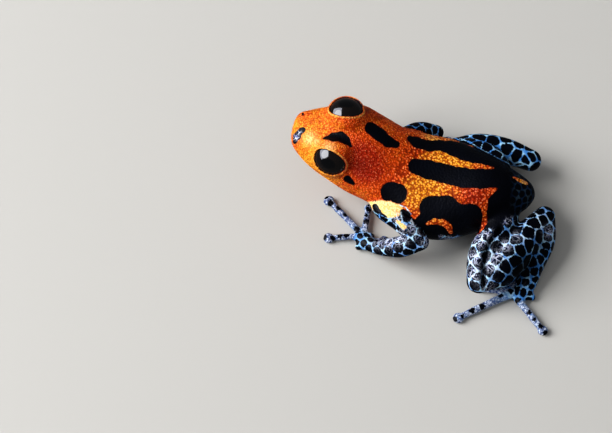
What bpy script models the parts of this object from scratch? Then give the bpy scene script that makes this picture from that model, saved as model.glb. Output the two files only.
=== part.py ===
# Life-size still model of a poison dart frog, sitting with its head raised.
# Frame: +Z up, the frog faces -Y, +X is its own left side. It rests on z = 0.
# Every size below is in millimetres. MM turns it to metres where a mesh is made.

import math

import bmesh
import bpy
from mathutils import Matrix, Vector

MM = 0.001
FLOOR = 0.0
JOINT_GAP = 0.3
HEEL_EASE = 0.05
EYE_GAP = 0.15
ROUND_ANGLE = math.radians(40)

# The trunk and head are one form, a ball whose rings follow these rows from the mouth's front to the vent.
# Each row: y, midline x, half width, height of the widest line, top, bottom, squareness, roll to the left.
TRUNK_ROWS = (
    (-0.15, -0.80, 0.00, 4.90, 4.90, 4.90, 2.0, 15),
    (0.06, -0.74, 1.08, 4.86, 5.58, 4.38, 2.3, 15),
    (0.85, -0.60, 1.74, 4.76, 6.05, 3.92, 2.3, 15),
    (2.00, -0.56, 2.36, 4.58, 6.42, 3.46, 2.5, 15),
    (3.30, -0.65, 2.92, 4.36, 6.72, 3.04, 2.5, 15),
    (4.70, -0.50, 3.18, 4.08, 6.72, 2.52, 2.4, 13),
    (6.20, -0.25, 3.16, 3.78, 6.34, 1.85, 2.2, 9),
    (7.70, -0.10, 3.22, 3.36, 5.82, 1.05, 2.1, 4),
    (9.30, 0.00, 3.70, 2.92, 5.38, 0.28, 2.1, 0),
    (11.00, 0.00, 3.94, 2.62, 5.20, -0.08, 2.1, 0),
    (12.60, -0.05, 3.62, 2.62, 5.28, 0.02, 2.1, 0),
    (14.10, -0.18, 2.96, 2.80, 5.34, 0.42, 2.1, 0),
    (15.50, -0.42, 2.26, 2.92, 5.02, 0.86, 2.1, 0),
    (16.70, -0.75, 1.56, 2.86, 4.34, 1.30, 2.0, 0),
    (17.55, -1.02, 0.84, 2.78, 3.62, 1.88, 2.0, 0),
    (17.90, -1.12, 0.00, 2.74, 2.74, 2.74, 2.0, 0),
)
ROLL_HEIGHT = 5.2
TRUNK_SIDES = 32
RINGS_PER_ROW = 2
SIDE_CROWDING = 0.45
NECK_Y = 6.7
JAW_CORNER_Y = 5.6
MOUTH_DEPTH = 0.11
LIP_HEIGHT = 0.05
LIP_REACH = 0.4

# Eyes, nostrils and ear discs, in the head's own frame before its roll.
EYE = {"x": 1.54, "z": 6.02, "radius": 1.25, "lid": 1.56, "open": 0.92, "forward": 12}
EYE_Y = {1: 3.33, -1: 3.50}
EYE_RAISE = {1: 53, -1: 57}
EYE_BULGE = 0.16
NOSTRIL = {"x": 0.98, "y": 0.42, "z": 5.22, "radius": 0.17}
EAR_DISC = {"x": 2.9, "y": 5.35, "z": 4.85, "radius": 0.42, "ball": 1.1}

# Limb bones: each row is x, y, z and the radius there. Rows run from the root to the tip.
ARMS = {
    "left": {
        "upper": ((2.55, 7.5, 3.3, 0.72), (3.2, 7.75, 3.40, 0.70), (3.85, 9.1, 3.58, 0.71), (4.75, 10.85, 3.05, 0.64)),
        "fore": ((4.75, 10.85, 3.05, 0.64), (5.08, 9.6, 2.3, 0.78), (5.05, 8.6, 1.5, 0.66), (5.0, 7.6, 0.80, 0.44)),
        "palm": ((5.0, 7.6, 0.80, 0.44), (4.66, 7.05, 0.50, 0.52), (4.36, 6.50, 0.42, 0.54)),
        "tips": ((3.70, 8.30), (1.40, 6.25), (1.66, 3.04), (4.96, 3.74)),
    },
    "right": {
        "upper": ((-2.4, 7.5, 3.4, 0.80), (-3.2, 7.9, 3.4, 0.74), (-4.05, 8.65, 3.0, 0.66), (-4.6, 9.7, 2.2, 0.58)),
        "fore": ((-4.6, 9.7, 2.2, 0.58), (-4.55, 8.6, 1.6, 0.70), (-4.45, 7.6, 1.15, 0.58), (-4.45, 6.7, 0.78, 0.42)),
        "palm": ((-4.45, 6.7, 0.78, 0.42), (-4.40, 6.1, 0.50, 0.53), (-4.30, 5.5, 0.42, 0.55)),
        "tips": ((-2.75, 6.1), (-2.55, 4.0), (-3.65, 2.1), (-5.20, 2.9)),
    },
}
LEGS = {
    "left": {
        "thigh": ((0.8, 16.0, 2.65, 1.10), (2.2, 15.9, 2.66, 1.18), (4.4, 15.5, 2.56, 1.18), (6.3, 15.6, 2.3, 0.92)),
        "shank": ((6.3, 15.6, 2.3, 0.92), (4.7, 16.85, 2.28, 1.36), (2.3, 17.9, 2.1, 1.24), (-0.25, 18.9, 1.7, 0.80)),
        "ankle": ((-0.25, 18.9, 1.7, 0.80), (1.5, 19.22, 1.30, 0.92), (3.5, 19.0, 0.92, 0.86)),
        "sole": ((3.5, 19.0, 0.92, 0.86), (4.8, 19.0, 0.56, 0.66), (5.82, 18.62, 0.40, 0.58)),
        "tips": ((4.15, 17.0), (4.50, 15.6), (5.90, 15.3), (8.87, 14.43), (8.22, 21.16)),
    },
    "right": {
        "thigh": ((-1.9, 15.1, 3.0, 1.00), (-2.8, 14.4, 3.0, 1.08), (-3.5, 13.0, 2.7, 1.00), (-3.9, 11.4, 1.85, 0.80)),
        "shank": ((-3.9, 11.4, 1.85, 0.80), (-4.4, 12.95, 1.95, 0.98), (-4.6, 14.9, 2.05, 0.90), (-4.48, 16.85, 1.95, 0.66)),
        "ankle": ((-4.48, 16.85, 1.95, 0.66), (-5.0, 15.6, 1.05, 0.52), (-5.05, 13.9, 0.62, 0.48)),
        "sole": ((-5.05, 13.9, 0.62, 0.48), (-5.0, 12.9, 0.42, 0.50), (-4.85, 11.9, 0.34, 0.56)),
        "tips": ((-3.5, 10.9), (-3.25, 9.5), (-3.95, 8.3), (-4.95, 7.75), (-5.35, 10.2)),
    },
}
FINGER = {"root": 0.36, "shaft": 0.28, "disc": (0.32, 0.34, 0.43, 0.41), "height": 0.27}
TOE = {"root": 0.39, "shaft": 0.29, "disc": (0.32, 0.34, 0.38, 0.43, 0.41), "height": 0.27}
DISC_FLATNESS = 0.58
DIGIT_SPREAD = 0.42

COLOURS = {
    "orange_skin": ((0.86, 0.20, 0.03), 0.42),
    "netted_skin": ((0.10, 0.20, 0.42), 0.38),
    "eye_black": ((0.01, 0.008, 0.008), 0.06),
}


def clear_scene():
    for obj in list(bpy.data.objects):
        bpy.data.objects.remove(obj)


def make_material(name):
    colour, roughness = COLOURS[name]
    material = bpy.data.materials.new(name)
    material.use_nodes = True
    shader = material.node_tree.nodes["Principled BSDF"]
    shader.inputs["Base Color"].default_value = (*colour, 1)
    shader.inputs["Roughness"].default_value = roughness
    shader.inputs["Metallic"].default_value = 0
    return material


def add_object(name, mesh, collection, material=None, origin=Vector((0, 0, 0))):
    """The mesh is given in place. The object takes its origin at the joint and the mesh moves to suit."""
    mesh.transform(Matrix.Translation(-origin * MM))
    obj = bpy.data.objects.new(name, mesh)
    obj.location = origin * MM
    collection.objects.link(obj)
    if material:
        mesh.materials.append(material)
        mesh.shade_smooth()
        mesh.set_sharp_from_angle(angle=ROUND_ANGLE)
    bpy.context.view_layer.update()
    return obj


def spline_rows(rows, steps, mirror_ends=False):
    """Points on a smooth curve through the rows. Mirrored ends close a ball round its poles."""
    first, last = list(rows[1]), list(rows[-2])
    if mirror_ends:
        for end in (first, last):
            end[2] = -end[2]
            end[4], end[5] = end[5], end[4]
    else:
        first = [2 * a - b for a, b in zip(rows[0], rows[1])]
        last = [2 * a - b for a, b in zip(rows[-1], rows[-2])]
    held = [first, *rows, last]
    points = []
    for i in range(1, len(held) - 2):
        a, b, c, d = held[i - 1 : i + 3]
        for step in range(steps):
            t = step / steps
            points.append(
                [
                    0.5 * (2 * q + (r - p) * t + (2 * p - 5 * q + 4 * r - s) * t**2 + (3 * q - p - 3 * r + s) * t**3)
                    for p, q, r, s in zip(a, b, c, d)
                ]
            )
    return [*points, list(rows[-1])]


def rolled(x, z, middle, roll):
    """A point of the head's frame, leaned over to the frog's left about the midline."""
    turn = math.radians(roll)
    high = z - ROLL_HEIGHT
    return (
        middle + x * math.cos(turn) + high * math.sin(turn),
        ROLL_HEIGHT + high * math.cos(turn) - x * math.sin(turn),
    )


def trunk_row_at(y):
    for above, below in zip(TRUNK_ROWS, TRUNK_ROWS[1:]):
        if above[0] <= y <= below[0]:
            share = (y - above[0]) / (below[0] - above[0])
            return [a + (b - a) * share for a, b in zip(above, below)]
    return list(TRUNK_ROWS[-1])


def head_point(x, y, z):
    row = trunk_row_at(y)
    turned_x, turned_z = rolled(x, z, row[1], row[7])
    return Vector((turned_x, y, turned_z))


def head_direction(x, y, z):
    turned_x, turned_z = rolled(x, z + ROLL_HEIGHT, 0, TRUNK_ROWS[4][7])
    return Vector((turned_x, y, turned_z - ROLL_HEIGHT)).normalized()


def superellipse(angle, squareness):
    power = 2 / squareness
    c, s = math.cos(angle), math.sin(angle)
    return math.copysign(abs(c) ** power, c), math.copysign(abs(s) ** power, s)


def lip_offset(y, rise):
    """The mouth's groove, and the lips that stand out above and below it, out to the jaw's corner."""
    fade = max(0, min(1, (JAW_CORNER_Y - y) / 0.8))
    if rise < 0.02:
        return -MOUTH_DEPTH * fade
    return LIP_HEIGHT * fade * math.exp(-((rise / LIP_REACH) ** 2))


def trunk_mesh():
    rows = spline_rows(TRUNK_ROWS, RINGS_PER_ROW, mirror_ends=True)
    bm = bmesh.new()
    bmesh.ops.create_uvsphere(bm, u_segments=TRUNK_SIDES, v_segments=len(rows) - 1, radius=1)
    rises = {}
    for vert in bm.verts:
        height = max(-1, min(1, vert.co.z))
        ring = round(math.acos(height) / math.pi * (len(rows) - 1))
        y, middle, width, widest, top, bottom, squareness, roll = rows[ring]
        angle = math.atan2(vert.co.y, vert.co.x)
        angle -= SIDE_CROWDING * math.sin(2 * angle) / 2
        across, up = superellipse(angle, squareness)
        reach = top - widest if up > 0 else widest - bottom
        rises[vert] = abs(up * reach)
        turned_x, turned_z = rolled(across * width, widest + up * reach, middle, roll)
        vert.co = Vector((turned_x, y, turned_z)) * MM
    bmesh.ops.recalc_face_normals(bm, faces=bm.faces)
    bm.normal_update()
    for vert, normal in [(vert, vert.normal.copy()) for vert in bm.verts]:
        vert.co += normal * lip_offset(vert.co.y / MM, rises[vert]) * MM
    mesh = bpy.data.meshes.new("trunk_form")
    bm.to_mesh(mesh)
    bm.free()
    return mesh


def ball_mesh(centre, radius, segments=20, stretch=(1, 1, 1), turn=None):
    bm = bmesh.new()
    bmesh.ops.create_uvsphere(bm, u_segments=segments, v_segments=segments // 2 + 1, radius=radius * MM)
    bmesh.ops.scale(bm, vec=stretch, verts=bm.verts)
    if turn:
        bmesh.ops.rotate(bm, cent=(0, 0, 0), matrix=turn, verts=bm.verts)
    bmesh.ops.translate(bm, vec=centre * MM, verts=bm.verts)
    mesh = bpy.data.meshes.new("ball")
    bm.to_mesh(mesh)
    bm.free()
    return mesh


def disc_mesh(centre, radius, turn):
    """A short upright drum, as deep to each side of its centre as it is wide."""
    bm = bmesh.new()
    bmesh.ops.create_cone(
        bm,
        cap_ends=True,
        segments=28,
        radius1=radius * MM,
        radius2=radius * MM,
        depth=radius * 2 * MM,
    )
    bmesh.ops.rotate(bm, cent=(0, 0, 0), matrix=turn, verts=bm.verts)
    bmesh.ops.translate(bm, vec=centre * MM, verts=bm.verts)
    mesh = bpy.data.meshes.new("disc")
    bm.to_mesh(mesh)
    bm.free()
    return mesh


def rounded_ends(points):
    """Adds shrinking points past both ends, so that a bevelled curve ends in half balls."""
    rounded = []
    for end, inner in ((points[0], points[1]), (points[-1], points[-2])):
        place, radius = Vector(end[:3]), end[3]
        outward = (place - Vector(inner[:3])).normalized()
        cap = []
        for degrees in (42, 78):
            reach = math.radians(degrees)
            spot = place + outward * radius * math.sin(reach)
            cap.append((*spot, radius * math.cos(reach)))
        rounded.append(cap)
    return [*reversed(rounded[0]), *points, *rounded[1]]


def tube_mesh(points, sides):
    """A closed round tube along the points, each with its own radius."""
    curve = bpy.data.curves.new("bone", "CURVE")
    curve.dimensions = "3D"
    curve.bevel_depth = MM
    curve.bevel_resolution = (sides - 4) // 2
    curve.use_fill_caps = True
    spline = curve.splines.new("POLY")
    spline.points.add(len(points) - 1)
    for spot, (x, y, z, radius) in zip(spline.points, points):
        spot.co = (x * MM, y * MM, z * MM, 1)
        spot.radius = radius
    holder = bpy.data.objects.new("bone", curve)
    bpy.context.scene.collection.objects.link(holder)
    graph = bpy.context.evaluated_depsgraph_get()
    mesh = bpy.data.meshes.new_from_object(holder.evaluated_get(graph))
    bpy.data.objects.remove(holder)
    bm = bmesh.new()
    bm.from_mesh(mesh)
    bmesh.ops.remove_doubles(bm, verts=bm.verts, dist=1e-6)
    bmesh.ops.recalc_face_normals(bm, faces=bm.faces)
    bm.to_mesh(mesh)
    bm.free()
    return mesh


def bone_mesh(rows, sides=12, steps=2):
    return tube_mesh(rounded_ends(spline_rows(rows, steps)), sides)


def thick_bone_mesh(rows, gap):
    """The same bone, thicker by the gap, to press a clear hollow into a neighbour."""
    return bone_mesh([(x, y, z, radius + gap) for x, y, z, radius in rows])


def digit_mesh(root, tip, sizes, disc, sides=8):
    """A finger or toe: a slim arched shaft that ends in a flattened round disc."""
    start, end = Vector(root), Vector((*tip, sizes["height"]))
    along = (end - start).normalized()
    length = (end - start).length
    shaft_end = length - disc
    points = [(*start, sizes["root"])]
    for share, radius in ((0.35, sizes["shaft"] * 1.06), (0.68, sizes["shaft"]), (0.9, sizes["shaft"] * 0.98)):
        arch = 0.10 * math.sin(share * math.pi)
        points.append((*(start + along * shaft_end * share + Vector((0, 0, arch))), radius))
    for turn in (140, 105, 72, 42, 16):
        spot = end - along * disc * (1 - math.cos(math.radians(turn)))
        radius = max(disc * math.sin(math.radians(turn)), 0.12)
        if turn == 140:
            radius = max(radius, sizes["shaft"])
        points.append((*spot, radius))
    mesh = tube_mesh(points, sides)
    for vert in mesh.vertices:
        past = (vert.co / MM - start).dot(along) - (length - 2 * disc)
        if past > 0:
            flat = 1 - (1 - DISC_FLATNESS) * min(1, past / (disc * 0.5))
            vert.co.z = (end.z + (vert.co.z / MM - end.z) * flat) * MM
    return mesh


def cut_plane(obj, point, normal):
    """Cuts off what lies on the normal's side of the plane and closes the cut with a flat face."""
    bm = bmesh.new()
    bm.from_mesh(obj.data)
    inverse = obj.matrix_world.inverted()
    place = inverse @ (Vector(point) * MM)
    bmesh.ops.bisect_plane(
        bm,
        geom=[*bm.verts, *bm.edges, *bm.faces],
        dist=1e-7,
        plane_co=place,
        plane_no=Vector(normal),
        clear_outer=True,
    )
    rim = [edge for edge in bm.edges if edge.is_boundary]
    if rim:
        bmesh.ops.holes_fill(bm, edges=rim, sides=0)
    bmesh.ops.recalc_face_normals(bm, faces=bm.faces)
    bm.to_mesh(obj.data)
    bm.free()


def largest_body(obj):
    """Keeps only the largest closed surface, which drops loose scraps."""
    bm = bmesh.new()
    bm.from_mesh(obj.data)
    bmesh.ops.remove_doubles(bm, verts=bm.verts, dist=2e-7)
    seen, groups = set(), []
    for start in bm.verts:
        if start in seen:
            continue
        group, edge_of_group = {start}, [start]
        while edge_of_group:
            vert = edge_of_group.pop()
            for edge in vert.link_edges:
                other = edge.other_vert(vert)
                if other not in group:
                    group.add(other)
                    edge_of_group.append(other)
        seen |= group
        groups.append(group)
    keep = max(groups, key=len)
    loose = [vert for vert in bm.verts if vert not in keep]
    bmesh.ops.delete(bm, geom=loose, context="VERTS")
    bm.to_mesh(obj.data)
    bm.free()


def apply_boolean(obj, operation, tool=None, tools=None):
    modifier = obj.modifiers.new("join_or_cut", "BOOLEAN")
    modifier.operation = operation
    modifier.solver = "EXACT"
    if tools:
        modifier.operand_type = "COLLECTION"
        modifier.collection = tools
    else:
        modifier.object = tool
    graph = bpy.context.evaluated_depsgraph_get()
    mesh = bpy.data.meshes.new_from_object(obj.evaluated_get(graph))
    obj.modifiers.remove(modifier)
    obj.data = mesh


def join_all(obj, meshes):
    """One union of the object with the closed meshes that grow from it."""
    group = bpy.data.collections.new("joining")
    bpy.context.scene.collection.children.link(group)
    for number, mesh in enumerate(meshes):
        add_object(f"joined_{number}", mesh, group)
    apply_boolean(obj, "UNION", tools=group)
    for piece in list(group.objects):
        bpy.data.objects.remove(piece)
    bpy.data.collections.remove(group)
    largest_body(obj)


def cut_mesh(obj, mesh, cutters):
    tool = add_object("cutter_" + obj.name, mesh, cutters)
    apply_boolean(obj, "DIFFERENCE", tool=tool)
    bpy.data.objects.remove(tool)
    largest_body(obj)


def eye_axis(side):
    raised, forward = math.radians(EYE_RAISE[side]), math.radians(EYE["forward"])
    return head_direction(
        side * math.cos(raised) * math.cos(forward),
        -math.cos(raised) * math.sin(forward),
        math.sin(raised),
    )


def build_head_and_torso(frog, cutters, skins):
    """One form, parted at the neck by a thin cut, with the eyes set in sockets in the head."""
    head = add_object("head", trunk_mesh(), frog, skins["orange_skin"])
    torso = add_object("torso", head.data.copy(), frog)
    half_gap = Vector((0, JOINT_GAP / 2, 0))
    neck = Vector((0, NECK_Y, 0))
    cut_plane(head, neck - half_gap, (0, 1, 0))
    cut_plane(torso, neck + half_gap, (0, -1, 0))
    cut_plane(torso, (0, 0, FLOOR), (0, 0, -1))
    centres = {side: head_point(side * EYE["x"], EYE_Y[side], EYE["z"]) for side in (1, -1)}
    join_all(head, [ball_mesh(centre, EYE["lid"], 24) for centre in centres.values()])
    for side, word in ((1, "left"), (-1, "right")):
        centre, axis = centres[side], eye_axis(side)
        turn = axis.to_track_quat("Z", "Y").to_matrix()
        window = EYE["lid"] * 1.2
        cover = disc_mesh(centre + axis * (EYE["open"] + window), window, turn)
        cut_mesh(head, cover, cutters)
        seat = centre + axis * EYE_BULGE
        cut_mesh(head, ball_mesh(seat, EYE["radius"] + EYE_GAP, 24, (1, 1, 1), turn), cutters)
        ball = ball_mesh(seat, EYE["radius"], 20, (1, 1, 1), turn)
        add_object("eye_" + word, ball, frog, skins["eye_black"], seat)
        nostril = head_point(side * NOSTRIL["x"], NOSTRIL["y"], NOSTRIL["z"])
        cut_mesh(head, ball_mesh(nostril, NOSTRIL["radius"], 8), cutters)
        ear = head_point(side * EAR_DISC["x"], EAR_DISC["y"], EAR_DISC["z"])
        outward = head_direction(side, 0, 0.12)
        stand_off = math.sqrt(EAR_DISC["ball"] ** 2 - EAR_DISC["radius"] ** 2)
        cut_mesh(head, ball_mesh(ear + outward * stand_off, EAR_DISC["ball"], 24), cutters)
    return head, torso


def bisect_joint(first, second, at, towards_first, towards_second):
    """Mitres two bones at their joint: the plane between them, half a gap off on each side."""
    normal = ((towards_first - at).normalized() - (towards_second - at).normalized()).normalized()
    cut_plane(first, at + normal * JOINT_GAP / 2, -normal)
    cut_plane(second, at - normal * JOINT_GAP / 2, normal)


def build_limb(names, bones, digits, spec, frog, skins):
    """A chain of bones, and a hand or foot made of its palm and digits in one node."""
    pieces = []
    for name, bone in zip(names, bones):
        origin = Vector(bone[0][:3])
        pieces.append(add_object(name, bone_mesh(bone), frog, skins["netted_skin"], origin))
    palm_root, palm_end = Vector(bones[-1][0][:3]), Vector(bones[-1][-1][:3])
    forward = (palm_end - palm_root).normalized()
    across = forward.cross(Vector((0, 0, 1))).normalized()
    middle = (len(digits) - 1) / 2
    turning = 1 if digits[0][0] < digits[-1][0] else -1
    meshes = []
    for number, tip in enumerate(digits):
        offset = across * (number - middle) * DIGIT_SPREAD * turning
        root = palm_end + offset - forward * 0.25
        root.z = 0.36
        meshes.append(digit_mesh(root, tip, spec, spec["disc"][number]))
    join_all(pieces[-1], meshes)
    for first, second, bone, after in zip(pieces, pieces[1:], bones, bones[1:]):
        at = Vector(after[0][:3])
        bisect_joint(first, second, at, Vector(bone[-2][:3]), Vector(after[1][:3]))
    for piece in pieces:
        cut_plane(piece, (0, 0, FLOOR), (0, 0, -1))
    return pieces


def centre_on_floor(frog):
    """Moves the whole frog so that the middle of its outline is over the origin and it rests on z = 0."""
    corners = [obj.matrix_world @ vert.co for obj in frog.objects for vert in obj.data.vertices]
    low = Vector([min(corner[axis] for corner in corners) for axis in range(3)])
    high = Vector([max(corner[axis] for corner in corners) for axis in range(3)])
    shift = Vector(((low.x + high.x) / 2, (low.y + high.y) / 2, low.z))
    for obj in frog.objects:
        obj.location -= shift
    bpy.context.view_layer.update()


def main():
    clear_scene()
    scene = bpy.context.scene.collection
    frog = bpy.data.collections.new("poison_dart_frog")
    cutters = bpy.data.collections.new("cutters")
    scene.children.link(frog)
    scene.children.link(cutters)
    skins = {name: make_material(name) for name in COLOURS}
    head, torso = build_head_and_torso(frog, cutters, skins)
    for side in ("left", "right"):
        arm, leg = ARMS[side], LEGS[side]
        arm_names = [f"{part}_{side}" for part in ("upper_arm", "forearm", "hand")]
        arm_bones = [arm["upper"], arm["fore"], arm["palm"]]
        upper_arm, forearm, hand = build_limb(arm_names, arm_bones, arm["tips"], FINGER, frog, skins)
        leg_names = [f"{part}_{side}" for part in ("thigh", "shank", "ankle", "foot")]
        leg_bones = [leg["thigh"], leg["shank"], leg["ankle"], leg["sole"]]
        thigh, shank, ankle, foot = build_limb(leg_names, leg_bones, leg["tips"], TOE, frog, skins)
        for piece, bone in ((upper_arm, arm["upper"]), (thigh, leg["thigh"])):
            root, after = Vector(bone[0][:3]), Vector(bone[1][:3])
            cut_plane(piece, root, (root - after).normalized())
        over = add_object("over_the_ankle", thick_bone_mesh(leg["shank"], JOINT_GAP), cutters)
        heel, before, after = (Vector(row[:3]) for row in (leg["shank"][-1], leg["shank"][-2], leg["ankle"][1]))
        crossing = ((before - heel).normalized() - (after - heel).normalized()).normalized()
        cut_plane(over, heel + crossing * (JOINT_GAP / 2 + HEEL_EASE), -crossing)
        for piece in (ankle, foot):
            cut_mesh(piece, over.data.copy(), cutters)
        bpy.data.objects.remove(over)
        for bone in (arm["upper"], arm["fore"], leg["thigh"], leg["shank"], leg["ankle"]):
            cut_mesh(torso, thick_bone_mesh(bone, JOINT_GAP), cutters)
    centre_on_floor(frog)


main()
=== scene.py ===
import math
import random

import bmesh
import bpy
import numpy as np
from mathutils import Matrix, Vector, noise


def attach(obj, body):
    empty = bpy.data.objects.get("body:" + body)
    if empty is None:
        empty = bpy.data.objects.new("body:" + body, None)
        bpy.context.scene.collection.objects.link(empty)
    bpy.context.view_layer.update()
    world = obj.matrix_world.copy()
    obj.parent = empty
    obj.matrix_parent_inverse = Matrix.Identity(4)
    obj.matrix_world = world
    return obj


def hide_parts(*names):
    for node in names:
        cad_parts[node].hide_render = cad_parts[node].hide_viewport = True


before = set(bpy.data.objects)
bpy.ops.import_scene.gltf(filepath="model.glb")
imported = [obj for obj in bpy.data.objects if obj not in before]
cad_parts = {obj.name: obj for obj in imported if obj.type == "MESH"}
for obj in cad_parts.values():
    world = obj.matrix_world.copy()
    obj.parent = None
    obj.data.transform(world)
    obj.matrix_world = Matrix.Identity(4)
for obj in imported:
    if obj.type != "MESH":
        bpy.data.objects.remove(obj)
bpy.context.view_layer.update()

# The frog is shaped in millimetres, snout near y = 0 facing -Y, and moved onto the CAD frame at the end.
mm = 0.001
layout = {"shift": (1.5614, 10.5015, 0.0)}


def hexToLinear(code):
    parts = [int(code[i:i + 2], 16) / 255 for i in (1, 3, 5)]
    return (*[c / 12.92 if c <= 0.04045 else ((c + 0.055) / 1.055) ** 2.4 for c in parts], 1.0)


def addNode(tree, kind, inputs=None, **settings):
    node = tree.nodes.new("ShaderNode" + kind)
    for key, value in settings.items():
        setattr(node, key, value)
    for key, value in (inputs or {}).items():
        if isinstance(value, bpy.types.NodeSocket):
            tree.links.new(value, node.inputs[key])
        else:
            node.inputs[key].default_value = value
    return node


def newMaterial(name):
    material = bpy.data.materials.new(name)
    material.use_nodes = True
    return material, material.node_tree, material.node_tree.nodes["Principled BSDF"]


def newObject(name, data):
    made = bpy.data.objects.new(name, data)
    bpy.context.scene.collection.objects.link(made)
    return made


def meshFrom(bm, name):
    mesh = bpy.data.meshes.new(name)
    bm.to_mesh(mesh)
    bm.free()
    return mesh


# Camera
camera = {
    "turn": -12, "height": 63, "roll": 3,  # degrees: 0 turn looks from the frog's left, minus is from behind
    "distance": 0.4, "frameWidth": 0.04403,  # metres at the frog
    "sensor": 36,  # mm
    # mm: a point on the back, and the way from there to the middle of the frame
    "pin": (0.0, 11.0, 5.2), "pinAcross": -9.64, "pinUp": -3.2,
}


def placed(point):
    return (Vector(point) - Vector(layout["shift"])) * mm


turn, height, roll = (math.radians(camera[key]) for key in ("turn", "height", "roll"))
toCamera = Vector((math.cos(height) * math.cos(turn), -math.cos(height) * math.sin(turn), math.sin(height)))
level = Vector((0, 0, 1)).cross(toCamera).normalized()
lifted = toCamera.cross(level)
across = math.cos(roll) * level + math.sin(roll) * lifted
upward = math.cos(roll) * lifted - math.sin(roll) * level
aim = placed(camera["pin"]) + (across * camera["pinAcross"] + upward * camera["pinUp"]) * mm
camData = bpy.data.cameras.new("camera")
camData.sensor_width = camera["sensor"]
camData.lens = camera["sensor"] * camera["distance"] / camera["frameWidth"]
camData.clip_start, camData.clip_end = 0.01, 20
cam = newObject("camera", camData)
cam.location = aim + toCamera * camera["distance"]
cam.rotation_mode = "QUATERNION"
cam.rotation_quaternion = Matrix((across, upward, toCamera)).transposed().to_quaternion()
bpy.context.scene.camera = cam
print("camera set")

# Body plan
trunk = {
    # y, midline x, half width, height of the widest line, top, bottom, squareness, roll to the left
    "rows": (
        (-0.15, -0.8, 0.0, 4.9, 4.9, 4.9, 2.0, 15), (0.06, -0.74, 1.08, 4.86, 5.58, 4.38, 2.3, 15),
        (0.85, -0.6, 1.74, 4.76, 6.05, 3.92, 2.3, 15), (2.0, -0.56, 2.36, 4.58, 6.42, 3.46, 2.5, 15),
        (3.3, -0.65, 2.92, 4.36, 6.72, 3.04, 2.5, 15), (4.7, -0.5, 3.18, 4.08, 6.72, 2.52, 2.4, 13),
        (6.2, -0.25, 3.16, 3.78, 6.34, 1.85, 2.2, 9), (7.7, -0.1, 3.22, 3.36, 5.82, 1.05, 2.1, 4),
        (9.3, 0.0, 3.7, 2.92, 5.38, 0.28, 2.1, 0), (11.0, 0.0, 3.94, 2.62, 5.2, -0.08, 2.1, 0),
        (12.6, -0.05, 3.62, 2.62, 5.28, 0.02, 2.1, 0), (14.1, -0.18, 2.96, 2.8, 5.34, 0.42, 2.1, 0),
        (15.5, -0.42, 2.26, 2.92, 5.02, 0.86, 2.1, 0), (16.7, -0.75, 1.56, 2.86, 4.34, 1.3, 2.0, 0),
        (17.55, -1.02, 0.84, 2.78, 3.62, 1.88, 2.0, 0), (17.9, -1.12, 0.0, 2.74, 2.74, 2.74, 2.0, 0),
    ),
    "rollHeight": 5.2, "headRoll": 15, "sides": 72, "steps": 6,
}
eyes = {
    "x": 1.54, "y": {1: 3.33, -1: 3.5}, "z": 6.02, "radius": 1.38, "bulge": 0.03, "lid": 1.54,
    "near": 2.2, "lidReach": 2.3,  # mm from the middle of an eye that count as being at it
    # degrees: 1 is the left eye, -1 the right; slant lifts the front corner
    "forward": 12, "raise": {1: 53, -1: 57}, "openLong": 58, "openHigh": {1: 39, -1: 45}, "slant": 14,
}
limbs = {
    # x, y, z and radius from root to tip
    "upperArmLeft": (
        (1.9, 7.0, 3.2, 0.8), (3.15, 7.62, 3.4, 0.68), (3.85, 9.1, 3.58, 0.71), (4.75, 10.85, 3.05, 0.64),
    ),
    "forearmLeft": (
        (4.75, 10.85, 3.05, 0.64), (5.08, 9.6, 2.3, 0.78), (5.05, 8.6, 1.5, 0.66), (5.0, 7.6, 0.8, 0.44),
    ),
    "palmLeft": ((5.0, 7.6, 0.8, 0.44), (4.66, 7.05, 0.5, 0.52), (4.36, 6.5, 0.42, 0.53)),
    "upperArmRight": (
        (-2.0, 7.4, 3.2, 0.8), (-3.2, 7.9, 3.4, 0.74), (-4.05, 8.65, 3.0, 0.66), (-4.6, 9.7, 2.2, 0.58),
    ),
    "forearmRight": (
        (-4.6, 9.7, 2.2, 0.58), (-4.55, 8.6, 1.6, 0.7), (-4.45, 7.6, 1.15, 0.58), (-4.45, 6.7, 0.78, 0.42),
    ),
    "palmRight": ((-4.45, 6.7, 0.78, 0.42), (-4.4, 6.1, 0.5, 0.52), (-4.3, 5.5, 0.42, 0.54)),
    "thighLeft": (
        (0.3, 16.1, 2.6, 1.1), (2.2, 15.95, 2.65, 1.18), (4.4, 15.5, 2.55, 1.18), (6.3, 15.6, 2.3, 0.92),
    ),
    "shankLeft": (
        (6.3, 15.6, 2.3, 0.92), (4.7, 16.85, 2.2, 1.44), (2.3, 17.9, 2.1, 1.26), (-0.25, 18.9, 1.7, 0.8),
    ),
    "ankleLeft": ((-0.25, 18.9, 1.7, 0.8), (1.5, 19.14, 1.38, 0.98), (3.5, 18.78, 1.02, 1.0)),
    "soleLeft": ((3.5, 18.78, 1.02, 1.0), (4.8, 18.9, 0.6, 0.68), (5.8, 18.62, 0.4, 0.54)),
    "thighRight": (
        (-1.5, 15.1, 3.0, 1.0), (-2.8, 14.4, 3.0, 1.08), (-3.5, 13.0, 2.7, 1.0), (-3.9, 11.4, 1.85, 0.8),
    ),
    "shankRight": (
        (-3.9, 11.4, 1.85, 0.8), (-4.4, 12.95, 1.95, 1.0), (-4.55, 14.9, 2.05, 0.96),
        (-4.34, 16.85, 1.95, 0.8),
    ),
    "ankleRight": ((-4.34, 16.85, 1.95, 0.8), (-4.95, 15.6, 1.05, 0.56), (-5.05, 13.9, 0.62, 0.48)),
    "soleRight": ((-5.05, 13.9, 0.62, 0.48), (-5.0, 12.9, 0.44, 0.48), (-4.85, 11.9, 0.38, 0.52)),
}
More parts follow.
